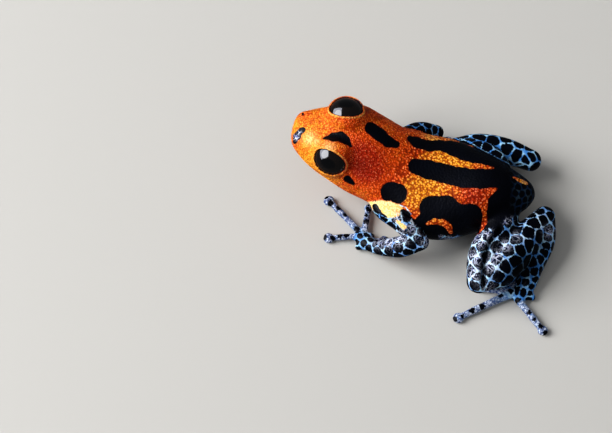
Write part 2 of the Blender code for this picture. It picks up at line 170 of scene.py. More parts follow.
digits = {
    # each tip from the inner digit to the outer: x, y and the radius of its pad
    "palmLeft": ((3.7, 8.3, 0.31), (1.4, 6.25, 0.33), (1.66, 3.04, 0.42), (4.96, 3.74, 0.41)),
    "palmRight": ((-2.75, 6.1, 0.31), (-2.55, 4.0, 0.34), (-3.65, 2.1, 0.42), (-5.2, 2.9, 0.41)),
    "soleLeft": (
        (4.15, 17.0, 0.31), (4.5, 15.6, 0.34), (5.9, 15.3, 0.37), (8.87, 14.43, 0.42), (8.22, 21.16, 0.4),
    ),
    "soleRight": (
        (-3.5, 10.9, 0.31), (-3.25, 9.5, 0.34), (-3.95, 8.3, 0.37), (-4.95, 7.75, 0.42), (-5.35, 10.2, 0.4),
    ),
    "spread": 0.42, "height": 0.27, "flatness": 0.58, "rootHeight": 0.36, "rootBack": 0.25, "arch": 0.1,
    "knuckles": ((0.42, 0.07, 0.13), (0.76, 0.06, 0.11)),  # share of the length, width, swelling
    "palmShaft": (0.29, 0.225), "soleShaft": (0.32, 0.26),  # radius at the root, then along the shaft
}
flesh = {"voxel": 0.102, "settle": 6, "jointSettle": 45, "lidRing": 1.75, "lidEase": 0.5}


def splineRows(rows, steps, ballEnds=False):
    rows = [list(r) for r in rows]
    if ballEnds:
        first, last = list(rows[1]), list(rows[-2])
        for end in (first, last):
            end[2] = -end[2]
            end[4], end[5] = end[5], end[4]
    else:
        first = [2 * a - b for a, b in zip(rows[0], rows[1])]
        last = [2 * a - b for a, b in zip(rows[-1], rows[-2])]
    held = np.array([first, *rows, last])
    made = []
    for i in range(1, len(held) - 2):
        a, b, c, d = held[i - 1:i + 3]
        for t in np.arange(steps) / steps:
            cubic = (2 * a - 5 * b + 4 * c - d) * t**2 + (3 * b - a - 3 * c + d) * t**3
            made.append(0.5 * (2 * b + (c - a) * t + cubic))
    return np.array([*made, held[-2]])


def leaned(x, z, middle, roll):
    turn, base = np.radians(roll), trunk["rollHeight"]
    high = z - base
    return middle + x * np.cos(turn) + high * np.sin(turn), base + high * np.cos(turn) - x * np.sin(turn)


def upright(x, z, middle, roll):
    turn, base = np.radians(roll), trunk["rollHeight"]
    aside, high = x - middle, z - base
    return aside * np.cos(turn) - high * np.sin(turn), base + high * np.cos(turn) + aside * np.sin(turn)


trunkTable = np.array(trunk["rows"], float)


def trunkAt(y):
    return [np.interp(y, trunkTable[:, 0], trunkTable[:, k]) for k in range(1, 8)]


def headPoint(x, y, z):
    middle, *_, roll = trunkAt(y)
    turnedX, turnedZ = leaned(x, z, middle, roll)
    return Vector((float(turnedX), y, float(turnedZ)))


def headDirection(x, y, z):
    turnedX, turnedZ = leaned(x, z + trunk["rollHeight"], 0, trunk["headRoll"])
    return Vector((float(turnedX), y, float(turnedZ - trunk["rollHeight"]))).normalized()


def ringedBall(sides, rings, place):
    bm = bmesh.new()
    bmesh.ops.create_uvsphere(bm, u_segments=sides, v_segments=rings, radius=1)
    for vert in bm.verts:
        ring = round(math.acos(max(-1, min(1, vert.co.z))) / math.pi * rings)
        vert.co = place(ring, math.atan2(vert.co.y, vert.co.x))
    bmesh.ops.recalc_face_normals(bm, faces=bm.faces)
    return bm


def trunkForm():
    rows = splineRows(trunk["rows"], trunk["steps"], ballEnds=True)

    def place(ring, angle):
        y, middle, width, widest, top, bottom, squareness, roll = rows[ring]
        c, s = math.cos(angle), math.sin(angle)
        power = 2 / squareness
        aside = math.copysign(abs(c) ** power, c) * width
        rise = math.copysign(abs(s) ** power, s) * ((top - widest) if s > 0 else (widest - bottom))
        x, z = leaned(aside, widest + rise, middle, roll)
        return Vector((x, y, z))

    return ringedBall(trunk["sides"], len(rows) - 1, place)


def tubeForm(stations, sides=20):
    stations = np.array(stations, float)
    centres = stations[:, :3]
    along = np.gradient(centres, axis=0)
    along /= np.linalg.norm(along, axis=1)[:, None]
    aside = np.cross(along, (0, 0, 1.0))
    aside /= np.linalg.norm(aside, axis=1)[:, None]
    over = np.cross(aside, along)

    def place(ring, angle):
        wide, high = stations[ring, 3], stations[ring, 4]
        spot = centres[ring] + aside[ring] * wide * math.cos(angle) + over[ring] * high * math.sin(angle)
        return Vector(spot)

    return ringedBall(sides, len(stations) - 1, place)


def roundedStations(rows):
    points = splineRows(rows, 6)
    made = [np.array([*p[:3], p[3], p[3]]) for p in points]
    caps = []
    for end, inner in ((points[0], points[1]), (points[-1], points[-2])):
        outward = end[:3] - inner[:3]
        outward /= np.linalg.norm(outward)
        cap = []
        for degrees in (18, 36, 54, 70, 82, 90):
            reach = math.radians(degrees)
            radius = end[3] * math.cos(reach)
            cap.append(np.array([*(end[:3] + outward * end[3] * math.sin(reach)), radius, radius]))
        caps.append(cap)
    return [*reversed(caps[0]), *made, *caps[1]]


def digitStations(root, tip, shaft, disc):
    start, end = np.array(root, float), np.array((*tip, digits["height"]))
    along = end - start
    length = np.linalg.norm(along)
    along /= length
    made = []
    for turn in map(math.radians, (90, 65, 40, 20)):
        radius = shaft[0] * math.cos(turn)
        made.append(np.array([*(start - along * shaft[0] * math.sin(turn)), radius, radius]))
    reach = length - 1.75 * disc
    for share in np.linspace(0, 1, 12):
        knuckle = 1
        for middle, width, swelling in digits["knuckles"]:
            knuckle += swelling * math.exp(-((share - middle) / width) ** 2)
        radius = (shaft[0] + (shaft[1] - shaft[0]) * min(1, share * 2.2)) * knuckle
        radius *= 1 - 0.1 * max(0, share - 0.8) / 0.2
        arch = digits["arch"] * math.sin(share * math.pi)
        made.append(np.array([*(start + along * reach * share + (0, 0, arch)), radius, radius]))
    neck = made[-1][3]
    for degrees in (130, 110, 90, 70, 50, 32, 16, 0):
        turn = math.radians(degrees)
        wide = max(disc * math.sin(turn), neck if degrees > 90 else 0)
        thick = max(wide * digits["flatness"], neck * 0.9 if degrees > 100 else 0)
        made.append(np.array([*(end - along * disc * (1 - math.cos(turn))), wide, thick]))
    return made


def eyeAxis(side):
    raised, forward = math.radians(eyes["raise"][side]), math.radians(eyes["forward"])
    return headDirection(side * math.cos(raised) * math.cos(forward), -math.cos(raised) * math.sin(forward),
                         math.sin(raised))


eyeCentres = {side: headPoint(side * eyes["x"], eyes["y"][side], eyes["z"]) for side in (1, -1)}
eyeSeats = {side: eyeCentres[side] + eyeAxis(side) * eyes["bulge"] for side in (1, -1)}

# One skin over all the flesh
limbStations = {name: roundedStations(rows) for name, rows in limbs.items()}
skinForms = [trunkForm(), *map(tubeForm, limbStations.values())]
digitLines = {}
for palm in ("palmLeft", "palmRight", "soleLeft", "soleRight"):
    first, last = Vector(limbs[palm][0][:3]), Vector(limbs[palm][-1][:3])
    forward = (last - first).normalized()
    sideways = forward.cross(Vector((0, 0, 1))).normalized()
    tips = digits[palm]
    sign = 1 if tips[0][0] < tips[-1][0] else -1
    shaft = digits["palmShaft" if palm.startswith("palm") else "soleShaft"]
    for number, (*tip, disc) in enumerate(tips):
        fan = number - (len(tips) - 1) / 2
        root = last + sideways * fan * digits["spread"] * sign - forward * digits["rootBack"]
        root.z = digits["rootHeight"]
        stations = digitStations(root, tip, shaft, disc)
        digitLines[f"{palm}{number}"] = stations
        skinForms.append(tubeForm(stations, 16))
for side in (1, -1):
    lid = bmesh.new()
    bmesh.ops.create_uvsphere(lid, u_segments=40, v_segments=24, radius=eyes["lid"])
    bmesh.ops.translate(lid, vec=eyeCentres[side], verts=lid.verts)
    skinForms.append(lid)
joined = bmesh.new()
for form in skinForms:
    part = meshFrom(form, "part")
    joined.from_mesh(part)
    bpy.data.meshes.remove(part)
rawFlesh = newObject("rawFlesh", meshFrom(joined, "rawFlesh"))
remesh = rawFlesh.modifiers.new("skin", "REMESH")
remesh.mode = "VOXEL"
remesh.voxel_size = flesh["voxel"]
bpy.context.view_layer.update()
skinMesh = bpy.data.meshes.new_from_object(rawFlesh.evaluated_get(bpy.context.evaluated_depsgraph_get()))
bpy.data.objects.remove(rawFlesh)
print("skin remeshed,", len(skinMesh.vertices), "points")


def readRows(items, key, width, kind):
    flat = np.empty(len(items) * width, kind)
    items.foreach_get(key, flat)
    return flat.reshape(-1, width)


def readPoints():
    return readRows(skinMesh.vertices, "co", 3, np.float32).astype(float)


def readNormals():
    return readRows(skinMesh.vertex_normals, "vector", 3, np.float32).astype(float)


def writePoints(points):
    skinMesh.vertices.foreach_set("co", points.astype(np.float32).ravel())
    skinMesh.update()


def storeField(mesh, name, values):
    layer = mesh.attributes.new(name, "FLOAT", "POINT")
    layer.data.foreach_set("value", values.astype(np.float32))


def settled(points, edges, weights, rounds, keepVolume=False):
    a, b = edges[:, 0], edges[:, 1]
    count = np.bincount(a, minlength=len(points)) + np.bincount(b, minlength=len(points))
    for turn in range(rounds):
        total = np.stack([np.bincount(a, points[b, k], len(points)) + np.bincount(b, points[a, k], len(points))
                          for k in range(3)], 1)
        pull = total / np.maximum(count, 1)[:, None] - points
        strength = -0.53 if keepVolume and turn % 2 else 0.5  # every second round swells the form again
        points = points + pull * (strength * weights)[:, None]
    return points


def gapTo(points, spot):
    return np.linalg.norm(points - np.array(spot), axis=1)


def bell(value, width, middle=0):
    return np.exp(-((value - middle) / width) ** 2)


def eased(value, low, high):
    t = np.clip((value - low) / (high - low), 0, 1)
    return t * t * (3 - 2 * t)


def lineDistance(points, stations):
    best = np.full(len(points), 1e9)
    share = np.zeros(len(points))
    for k, (a, b) in enumerate(zip(stations, stations[1:])):
        ends = np.array(b[:3]) - np.array(a[:3])
        t = np.clip((points - a[:3]) @ ends / max(ends @ ends, 1e-9), 0, 1)
        gap = np.linalg.norm(points - (a[:3] + t[:, None] * ends), axis=1) - (a[3] + (b[3] - a[3]) * t)
        closer = gap < best
        best[closer], share[closer] = gap[closer], ((k + t) / (len(stations) - 1))[closer]
    return best, share


joints = (
    # places where the tubes meet, left then right: x, y, z, and how far the blending reaches, in mm
    (3.0, 7.9, 3.4, 1.1), (-3.0, 7.8, 3.3, 1.1),  # shoulders
    (1.4, 15.7, 3.0, 1.3), (-2.6, 14.6, 3.4, 1.1),  # hips
    (4.6, 10.6, 3.0, 0.6), (-4.3, 9.5, 2.2, 0.6),  # elbows
    (4.9, 7.3, 0.6, 0.5), (-4.4, 6.4, 0.6, 0.5),  # wrists
    (6.2, 15.6, 2.3, 0.6), (-0.1, 18.95, 1.6, 0.5),  # left knee and heel
    (5.4, 18.9, 0.5, 0.7), (-4.9, 12.4, 0.4, 0.7),  # feet
    (4.5, 6.4, 0.45, 0.6), (-4.3, 5.5, 0.45, 0.6),  # hands
)

points, edges = readPoints(), readRows(skinMesh.edges, "vertices", 2, np.int32)
points = settled(points, edges, np.ones(len(points)), flesh["settle"], keepVolume=True)
ease = np.zeros(len(points))
for *spot, reach in joints:
    ease = np.maximum(ease, bell(gapTo(points, spot), reach))
for side in (1, -1):
    gap = gapTo(points, eyeCentres[side])
    ease = np.maximum(ease, bell(gap, flesh["lidEase"], flesh["lidRing"]))
points = settled(points, edges, ease, flesh["jointSettle"])
points[:, 2] = np.maximum(points[:, 2], 0)
writePoints(points)
print("joints blended")

# The fold where the thigh lies against the shank: a groove pressed in along a line seen from the camera
fold = {
    "line": ((4.3, -4.2), (3.62, -4.95), (3.22, -5.95), (3.06, -7.2), (3.1, -8.1)),
    "width": 0.18, "depth": 0.5, "shade": 0.2, "behind": 13,
}
sheetAxes, lineOfSight = np.array([across, upward]), np.array(toCamera)
pin = np.array(camera["pin"])


def sheetGap(points, line):
    spot = (points - pin) @ sheetAxes.T
    gap = np.full(len(points), 9.0)
    for a, b in zip(line, line[1:]):
        run = np.array(b) - np.array(a)
        t = np.clip((spot - a) @ run / (run @ run), 0, 1)
        gap = np.minimum(gap, np.linalg.norm(spot - (np.array(a) + t[:, None] * run), axis=1))
    return gap


normals = readNormals()
facing = eased(normals @ lineOfSight, 0.1, 0.4) * (points[:, 1] > fold["behind"])
press = fold["depth"] * bell(sheetGap(points, fold["line"]), fold["width"]) * facing
points = points - lineOfSight * press[:, None]
writePoints(points)
print("leg fold pressed")

# Finer mesh along the mouth, lids and nostrils
face = {
    "mouthEnd": 5.5, "mouthFade": 0.9, "mouthDepth": 0.1, "mouthWidth": 0.055, "lip": 0.035,
    "headEnd": 6.5, "throat": 2.0,  # the head lies before the one and above the other
    "nostril": (0.98, 0.42, 5.22), "nostrilRadius": 0.11, "nostrilDepth": 0.16,
    "brimRadius": 0.24, "brimWidth": 0.08, "brimHeight": 0.05, "featureReach": 0.8,
    "ear": (2.95, 5.35, 4.85), "earRadius": 0.42, "earWidth": 0.07, "earDepth": 0.05, "earSink": 0.02,
    "lidThickness": 0.11, "underEye": 0.1,
    "lidSlope": (0.955, 1.02), "lidHold": (1.06, 1.42),  # shares of the way from the pupil to the lid's edge
}


def facePoint(word, side):
    x, y, z = face[word]
    return np.array(headPoint(side * x, y, z))


def mouthRise(points):
    middle, _, widest, *_, roll = trunkAt(points[:, 1])
    aside, height = upright(points[:, 0], points[:, 2], middle, roll)
    return height - widest, aside


def mouthFade(points):
    headOnly = (points[:, 1] < face["headEnd"]) & (points[:, 2] > face["throat"])
    return eased(face["mouthEnd"] - points[:, 1], 0, face["mouthFade"]) * headOnly


def eyeFrame(side):
    axis = np.array(eyeAxis(side))
    slant = math.radians(eyes["slant"])
    ahead = np.array((0, -math.cos(slant), math.sin(slant)))
    fore = ahead - axis * (axis @ ahead)
    fore /= np.linalg.norm(fore)
    return axis, fore, np.cross(axis, fore)


def lidShare(points, side):
    axis, fore, lift = eyeFrame(side)
    offset = points - np.array(eyeSeats[side])
    reach = np.linalg.norm(offset, axis=1)
    away = offset / reach[:, None]
    angle = np.degrees(np.arccos(np.clip(away @ axis, -1, 1)))
    turn = np.arctan2(away @ lift, away @ fore)
    edge = 1 / np.sqrt((np.cos(turn) / eyes["openLong"]) ** 2 + (np.sin(turn) / eyes["openHigh"][side]) ** 2)
    return angle / edge, reach, away


def refine(wanted):
    bm = bmesh.new()
    bm.from_mesh(skinMesh)
    bm.verts.ensure_lookup_table()
    chosen = [e for e in bm.edges if wanted[e.verts[0].index] and wanted[e.verts[1].index]]
    bmesh.ops.subdivide_edges(bm, edges=chosen, cuts=1, use_grid_fill=True)
    bmesh.ops.triangulate(bm, faces=[f for f in bm.faces if len(f.verts) > 4])
    bm.to_mesh(skinMesh)
    bm.free()


def faceZone(points, margin):
    rise, aside = mouthRise(points)
    zone = (np.abs(rise) < 0.14 * margin) & (points[:, 1] < face["mouthEnd"]) & (np.abs(aside) < 4)
    for side in (1, -1):
        share, reach, _ = lidShare(points, side)
        zone |= (share > 1 - 0.14 * margin) & (share < 1 + 0.16 * margin) & (reach < eyes["near"])
        zone |= gapTo(points, facePoint("nostril", side)) < 0.28 * margin
    return zone


refine(faceZone(points, 1.5))
refine(faceZone(readPoints(), 0.8))
points, normals = readPoints(), readNormals()
rise, _ = mouthRise(points)
groove = -face["mouthDepth"] * bell(rise, face["mouthWidth"])
lip = face["lip"] * bell(rise, 0.12, 0.17) + 0.6 * face["lip"] * bell(rise, 0.14, -0.2)
points += normals * ((groove + lip) * mouthFade(points))[:, None]
for side in (1, -1):
    gap = gapTo(points, facePoint("nostril", side))
    pit = -face["nostrilDepth"] * bell(gap, face["nostrilRadius"])
    brim = face["brimHeight"] * bell(gap, face["brimWidth"], face["brimRadius"])
    points += normals * ((pit + brim) * (gap < face["featureReach"]))[:, None]
    gap = gapTo(points, facePoint("ear", side))
    sunk = face["earSink"] * (gap < face["earRadius"])
    ring = -face["earDepth"] * bell(gap, face["earWidth"], face["earRadius"]) - sunk
    points += normals * (ring * (gap < face["featureReach"]))[:, None]
    share, reach, away = lidShare(points, side)
    radius = eyes["radius"]
    hidden = radius - face["underEye"]
    rim = hidden + (radius + face["lidThickness"] - hidden) * eased(share, *face["lidSlope"])
    rim += 0.03 * bell(share, 0.05, 1.05)
    hold = 1 - eased(share, *face["lidHold"])
    target = np.array(eyeSeats[side]) + away * rim[:, None]
    blend = (hold * (reach < eyes["lidReach"]))[:, None]
    points = points * (1 - blend) + target * blend
points[:, 2] = np.maximum(points[:, 2], 0)
writePoints(points)
print("mouth, lids and nostrils shaped,", len(points), "points")

# Markings
# Laid out in mm on a sheet held over the frog's left side and back, square to the camera's line, and
# carried over to the hidden right flank by mirroring the frog about its midline.
blackMarks = {
    # each mark is a chain of blobs: along, up, radius
    "noseSpot": ((-10.44, 2.18, 0.15), (-10.3, 2.58, 0.24), (-10.06, 2.92, 0.17), (-9.9, 3.04, 0.21)),
    "noseDot": ((-9.86, 4.2, 0.09),),
    "browSpot": (
        (-8.32, 2.42, 0.09), (-7.7, 2.5, 0.28), (-7.15, 2.53, 0.34), (-6.78, 2.3, 0.29), (-6.42, 1.87, 0.1),
    ),
    "cheekSpot": ((-6.66, -0.5, 0.27), (-6.24, -0.83, 0.13)),
    "napeSpot": ((-4.99, 3.17, 0.44), (-4.36, 2.71, 0.46), (-3.75, 2.2, 0.39), (-3.14, 1.98, 0.26)),
    "shoulderSpot": ((-3.52, -1.46, 0.76), (-3.12, -1.56, 0.75)),
    "outerStripe": (
        (-2.12, 2.4, 0.24), (-1.58, 2.12, 0.38), (-0.72, 1.88, 0.38), (0.0, 1.95, 0.37), (0.86, 1.76, 0.5),
        (1.73, 1.51, 0.64), (2.59, 1.26, 0.6), (3.53, 0.83, 0.34), (4.32, 0.43, 0.22),
    ),
    "backStripe": (
        (-1.73, 0.4, 0.57), (-0.86, 0.18, 0.67), (0.36, -0.12, 0.68), (1.58, -0.41, 0.7), (3.02, -0.49, 0.69),
        (4.1, -0.43, 0.65), (5.2, -0.2, 0.9),
    ),
    "flankBand": (
        (-0.65, -2.59, 0.86), (0.43, -2.66, 0.93), (1.37, -3.02, 0.66), (2.16, -3.17, 0.86),
        (2.16, -3.81, 0.8), (1.08, -4.17, 0.86), (0.0, -4.03, 1.15), (-1.08, -3.88, 0.86),
    ),
    "flankEdge": ((2.15, 2.1, 0.26), (3.0, 1.66, 0.32), (3.9, 1.15, 0.3)),
}
markings = {
    "flankCrescent": (
        (-0.94, -3.74, 0.1), (-0.43, -3.56, 0.18), (0.22, -3.63, 0.21), (0.65, -3.96, 0.19),
        (0.79, -4.32, 0.14),
    ),
    # up, along: everything past this line is black
    "rumpLine": (
        (2.0, 4.0), (0.14, 3.96), (-0.58, 4.24), (-1.29, 4.1), (-1.87, 3.49), (-2.88, 3.35), (-3.6, 3.42),
        (-4.17, 3.09), (-4.9, 2.6), (-7.0, 2.2),
    ),
    # along, up: the net on the left thigh starts below this line
    "hipLine": (
        (1.6, -5.6), (2.47, -4.7), (3.08, -4.2), (3.81, -3.88), (4.42, -3.95), (4.8, -3.5), (5.34, -3.25),
        (6.4, -3.1),
    ),
    "bellyNet": ((0.0, -4.62, 0.16), (0.62, -4.78, 0.2), (1.34, -4.82, 0.22), (2.26, -5.0, 0.26)),
    "rumpFleck": ((5.3, -0.36, 0.05), (5.62, -0.52, 0.06), (5.95, -0.66, 0.11), (6.28, -0.82, 0.11)),
    "armStreak": ((-4.68, -2.46, 0.19), (-4.46, -2.92, 0.22), (-4.02, -3.34, 0.2), (-3.6, -3.72, 0.14)),
    "armCell": ((-2.56, -3.0, 0.24), (-2.48, -3.24, 0.26)),
    "armPale": (
        (-5.05, -2.35, 0.24), (-4.3, -2.55, 0.5), (-3.6, -2.74, 0.58), (-3.15, -2.8, 0.38),
        (-2.98, -2.62, 0.26),
    ),
    "armPaleEnd": ((-3.05, -3.55, 0.15), (-2.62, -3.95, 0.2)),
    "armRimCell": ((-2.66, -2.86, 0.2), (-2.46, -3.08, 0.36)),
    # along, up: the last line of the net on the left arm and on the right leg
    "armRim": ((-2.93, -2.37), (-2.48, -2.55), (-2.08, -3.01), (-2.03, -3.55), (-1.87, -3.88)),
    "farRim": (
        (1.51, 2.48), (2.16, 2.23), (2.59, 1.94), (3.06, 1.63), (3.55, 1.4), (4.1, 1.08), (4.68, 0.79),
        (5.18, 0.54), (5.76, 0.47), (6.47, 0.58),
    ),
}
blobMelt = 0.06  # mm over which the blobs of a chain run together
points, normals = readPoints(), readNormals()
towards = normals @ lineOfSight
x, y, z = points.T


def chainField(along, up, chain):
    best = np.full(len(along), 1e9)
    spots = [*chain, chain[-1]] if len(chain) == 1 else chain
    for (ax, ay, ar), (bx, by, br) in zip(spots, spots[1:]):
        ex, ey = bx - ax, by - ay
        t = np.clip(((along - ax) * ex + (up - ay) * ey) / max(ex * ex + ey * ey, 1e-9), 0, 1)
        gap = np.hypot(along - ax - ex * t, up - ay - ey * t) - (ar + (br - ar) * t)
        best = -np.log(sum(np.exp(-np.clip(each, -3, 3) / blobMelt) for each in (best, gap))) * blobMelt
    return best


middle, halfWide, widest, top, bottom, squareness, roll = trunkAt(y)
aside, height = upright(x, z, middle, roll)
rise = height - widest
# degrees round the trunk from the midline of the back, less than 0 on the right
roundness = np.degrees(np.arctan2(aside / np.maximum(halfWide, 0.3), rise / np.maximum(top - widest, 0.3)))
mirrored = points.copy()
mirrored[:, 0], mirrored[:, 2] = leaned(-aside, height, middle, roll)
farSide = eased(-roundness, 62, 66)
sheet = (points - pin) @ sheetAxes.T
sheetMirror = (mirrored - pin) @ sheetAxes.T
seen = np.where(farSide[:, None] > 0.5, sheetMirror, sheet)  # where each point looks its marking up
crossing = eased(-roundness, 40, 85)  # soft colours pass over to the mirrored side slowly
black = np.full(len(points), 9.0)
for chain in blackMarks.values():
    black = np.minimum(black, chainField(*seen.T, chain))
black = np.maximum(black, -chainField(*seen.T, markings["flankCrescent"]))
rump = np.interp(seen[:, 1], *np.array(markings["rumpLine"])[::-1].T) - seen[:, 0]
black = np.minimum(black, rump)
black = np.maximum(black, -chainField(*seen.T, markings["rumpFleck"]))
chin = eased(np.abs(roundness), 100, 108) * eased(7.6 - y, 0, 0.6)
black = np.where(chin > 0.5, 9.0, black)
lidRim = np.zeros(len(points))
for side in (1, -1):
    share, reach, _ = lidShare(points, side)
    black = np.where(reach < eyes["near"], np.minimum(black, 3 * (share - 1.0)), black)
    lidRim = np.maximum(lidRim, bell(share, 0.04, 1.07) * (reach < eyes["near"]))

# How far each point stands off the trunk, which tells limbs from trunk
halfHigh = np.maximum(np.where(height > widest, top - widest, widest - bottom), 0.05)
swell = (np.abs(aside) / np.maximum(halfWide, 0.05)) ** squareness + (np.abs(rise) / halfHigh) ** squareness
standOff = np.hypot(aside, rise) * (1 - 1 / np.maximum(swell, 1e-6) ** (1 / squareness))
standOff = np.where((y < 0.05) | (y > 17.8), 2.0, standOff)
limbGap, limbName, limbShare = np.full(len(points), 9.0), np.full(len(points), -1), np.zeros(len(points))
names = list(limbStations) + list(digitLines)
for k, name in enumerate(names):
    gap, share = lineDistance(points, limbStations.get(name) or digitLines[name])
    closer = gap < limbGap
    limbGap[closer], limbName[closer], limbShare[closer] = gap[closer], k, share[closer]


def onPieces(*words):
    picked = [k for k, name in enumerate(names) if name.startswith(words)]
    return np.isin(limbName, picked) & (limbGap < 0.4)


def sheetMark(name):
    return chainField(*sheet.T, markings[name])


onLimb = (limbGap < 0.35) & (standOff > 0.06)
hipEdge = np.interp(sheet[:, 0], *np.array(markings["hipLine"]).T) - sheet[:, 1]
onLimb &= ~(onPieces("thighLeft") & (hipEdge < 0))
leftArm = onPieces("upperArmLeft") & onLimb
rightArm = onPieces("upperArmRight") & onLimb
hind = onPieces("thigh", "shank", "ankle", "sole") & onLimb
fore = onPieces("forearm", "palm") & onLimb
anyLimb = leftArm | rightArm | hind | fore
isDigit = (limbName >= len(limbStations)) & onLimb
digitShare = np.where(isDigit, limbShare, 0)
palePatch = np.minimum(sheetMark("armPale"), sheetMark("armPaleEnd"))
shoulder = (x > 1.5) & (np.abs(y - 9) < 3) & (towards > 0.15) & ~isDigit
palePatch = np.where(leftArm | (shoulder & (limbGap < 0.7)), palePatch, 9.0)
black = np.where(anyLimb, -0.5, black)
black = np.where(palePatch < 0, np.minimum(sheetMark("armStreak"), sheetMark("armCell")), black)
black = np.where(shoulder, np.minimum(black, sheetMark("armRimCell")), black)
bellyEdge = 1.9 + 0.25 * np.sin(y * 2.3)
bellyField = z - bellyEdge + 6 * eased(8.4 - y, 0, 1.6)
black = np.minimum(black, np.where(onLimb, 9.0, bellyField))

# The net: seeds spread evenly over the skin, one for each black cell; the pale lines run half way between them
cells = {
    # cell sizes in mm, then cells placed where they are seen: along, up
    "sizes": {"thigh": 1.0, "shank": 0.98, "ankle": 0.66, "sole": 0.6, "upperArm": 0.72,
              "forearm": 0.8, "palm": 0.58},
    "belly": 0.75, "vent": 0.5, "corner": 0.06, "catch": 0.15, "placed": 0.9, "spacing": 0.46, "slack": 0.95,
    "spots": (
        (7.64, -3.32), (6.79, -3.45), (6.47, -4.26), (5.49, -4.01), (4.72, -4.67), (5.53, -4.76),
        (4.87, -5.52), (5.89, -5.54), (4.77, -6.74), (4.23, -7.54), (5.44, -6.33), (3.42, -4.53),
        (2.97, -5.21), (2.11, -5.75), (2.65, -6.51), (2.07, -7.05), (2.38, -8.17), (3.1, -7.95),
        (3.69, -8.35), (5.04, -8.58), (5.92, -8.53), (5.49, -9.3), (6.67, -8.76), (6.76, -8.31), (6.47, -9.3),
        (7.01, -7.28), (7.46, -6.33), (7.91, -5.43), (8.05, -4.13), (7.33, -4.76), (3.96, -6.15),
        (2.52, -7.54), (6.07, -7.41), (6.47, -6.51), (7.01, -5.61),
        (-5.74, -4.47), (-6.1, -5.07), (-6.02, -4.04), (-5.26, -5.59), (-4.58, -5.75), (-3.8, -5.83),
        (-3.09, -5.51), (-2.26, -5.23), (-3.21, -4.57), (-4.26, -5.08), (-3.73, -4.84), (-4.92, -4.71),
        (-1.42, -4.91), (-1.98, -4.04), (-2.46, -3.07), (-2.85, -4.11), (-1.3, -4.23), (-2.22, -5.87),
        (-3.18, -3.23), (-1.54, -3.55),
        (3.34, 1.94), (4.16, 1.38), (4.98, 1.84), (5.55, 1.17), (6.27, 0.89), (6.81, 1.22), (4.83, 0.5),
        (2.67, 1.99), (6.06, 0.3), (2.11, 2.51), (3.96, 2.51), (-1.13, 3.07), (-0.15, 3.07), (-2.21, 3.33),
        (2.93, 1.07), (3.75, 0.45),
    ),
}
cellSize = np.full(len(points), cells["belly"])
cellSize[seen[:, 0] > 4.9] = cells["vent"]
for word, size in cells["sizes"].items():
    cellSize[onPieces(word) & onLimb] = size
netted = onLimb | (z < 3.0) | (seen[:, 0] > 4.6)
netPoints, netSizes = points[netted], cellSize[netted]
depth = netPoints @ lineOfSight
netSheet = sheet[netted]
seeds, sizes, pinned = [], [], []
for spot in cells["spots"]:
    gap = np.hypot(*(netSheet - np.array(spot)).T)
    if gap.min() > cells["catch"]:
        continue
    best = np.argmax(np.where(gap < cells["catch"], depth, -99))
    seeds.append(netPoints[best])
    sizes.append(netSizes[best] * cells["placed"])
    pinned.append(True)
order = list(range(len(netPoints)))
random.Random(7).shuffle(order)
for k in order[::2]:
    gaps = np.linalg.norm(np.array(seeds) - netPoints[k], axis=1)
    if np.all(gaps > cells["spacing"] * (np.array(sizes) + netSizes[k]) * cells["slack"]):
        seeds.append(netPoints[k])
        sizes.append(netSizes[k])
        pinned.append(False)
seeds, pinned = np.array(seeds), np.array(pinned)
print("net cells", len(seeds), "of them placed", int(pinned.sum()))


def nearestSeeds(where, count):
    found, gaps = [], []
    for start in range(0, len(where), 4000):
        block = where[start:start + 4000]
        square = ((block[:, None, :] - seeds[None]) ** 2).sum(2)
        picked = np.argpartition(square, count, axis=1)[:, :count]
        values = np.take_along_axis(square, picked, 1)
        rank = np.argsort(values, axis=1)
        found.append(np.take_along_axis(picked, rank, 1))
        gaps.append(np.take_along_axis(values, rank, 1))
    return np.concatenate(found), np.concatenate(gaps)


for turn in range(3):
    owner = nearestSeeds(netPoints, 2)[0][:, 0]
    filled = np.bincount(owner, minlength=len(seeds))
    for axisNumber in range(3):
        mean = np.bincount(owner, netPoints[:, axisNumber], len(seeds)) / np.maximum(filled, 1)
        loose = ~pinned & (filled > 0)
        seeds[loose, axisNumber] = mean[loose]
found, squares = nearestSeeds(netPoints, 7)
walls = []
for k in range(1, 7):
    span = np.linalg.norm(seeds[found[:, k]] - seeds[found[:, 0]], axis=1)
    walls.append((squares[:, k] - squares[:, 0]) / (2 * np.maximum(span, 1e-3)))
walls = np.array(walls)
seam = np.full(len(points), 1.0)
seam[netted] = -cells["corner"] * np.log(np.exp(-walls / cells["corner"]).sum(0))
seam = np.where(leftArm & (palePatch > -0.5), np.minimum(seam, np.abs(palePatch)), seam)

# Toes and fingers: a row of dark blots on a pale blue-grey ground, one on each pad
blots = {"shares": (0.3, 0.46, 0.58, 0.7), "padShare": 0.93, "radius": 0.17, "pad": 0.19, "aside": 0.09}
blotField = np.full(len(points), 9.0)
for number, (name, stations) in enumerate(digitLines.items()):
    line = np.array(stations)
    along = line[-1, :3] - line[0, :3]
    sideways = np.cross(along / np.linalg.norm(along), (0, 0, 1.0))
    shaker = random.Random(number * 11 + 3)
    for share in (*blots["shares"], blots["padShare"]):
        spot = line[min(len(line) - 1, round(share * (len(line) - 1)))]
        onPad = share == blots["padShare"]
        swing = 0 if onPad else shaker.uniform(-1, 1) * blots["aside"]
        centre = spot[:3] + sideways * swing + (0, 0, spot[4] * 0.9)
        size = blots["pad"] if onPad else blots["radius"] * shaker.uniform(0.6, 1.15)
        stretch = np.linalg.norm((points - centre) * (1, 1, 0.6), axis=1)
        blotField = np.where(limbName == names.index(name), np.minimum(blotField, stretch - size), blotField)
digitBlend = eased(digitShare, 0.2, 0.3)
seam = seam * (1 - digitBlend) + (0.075 - blotField) * digitBlend

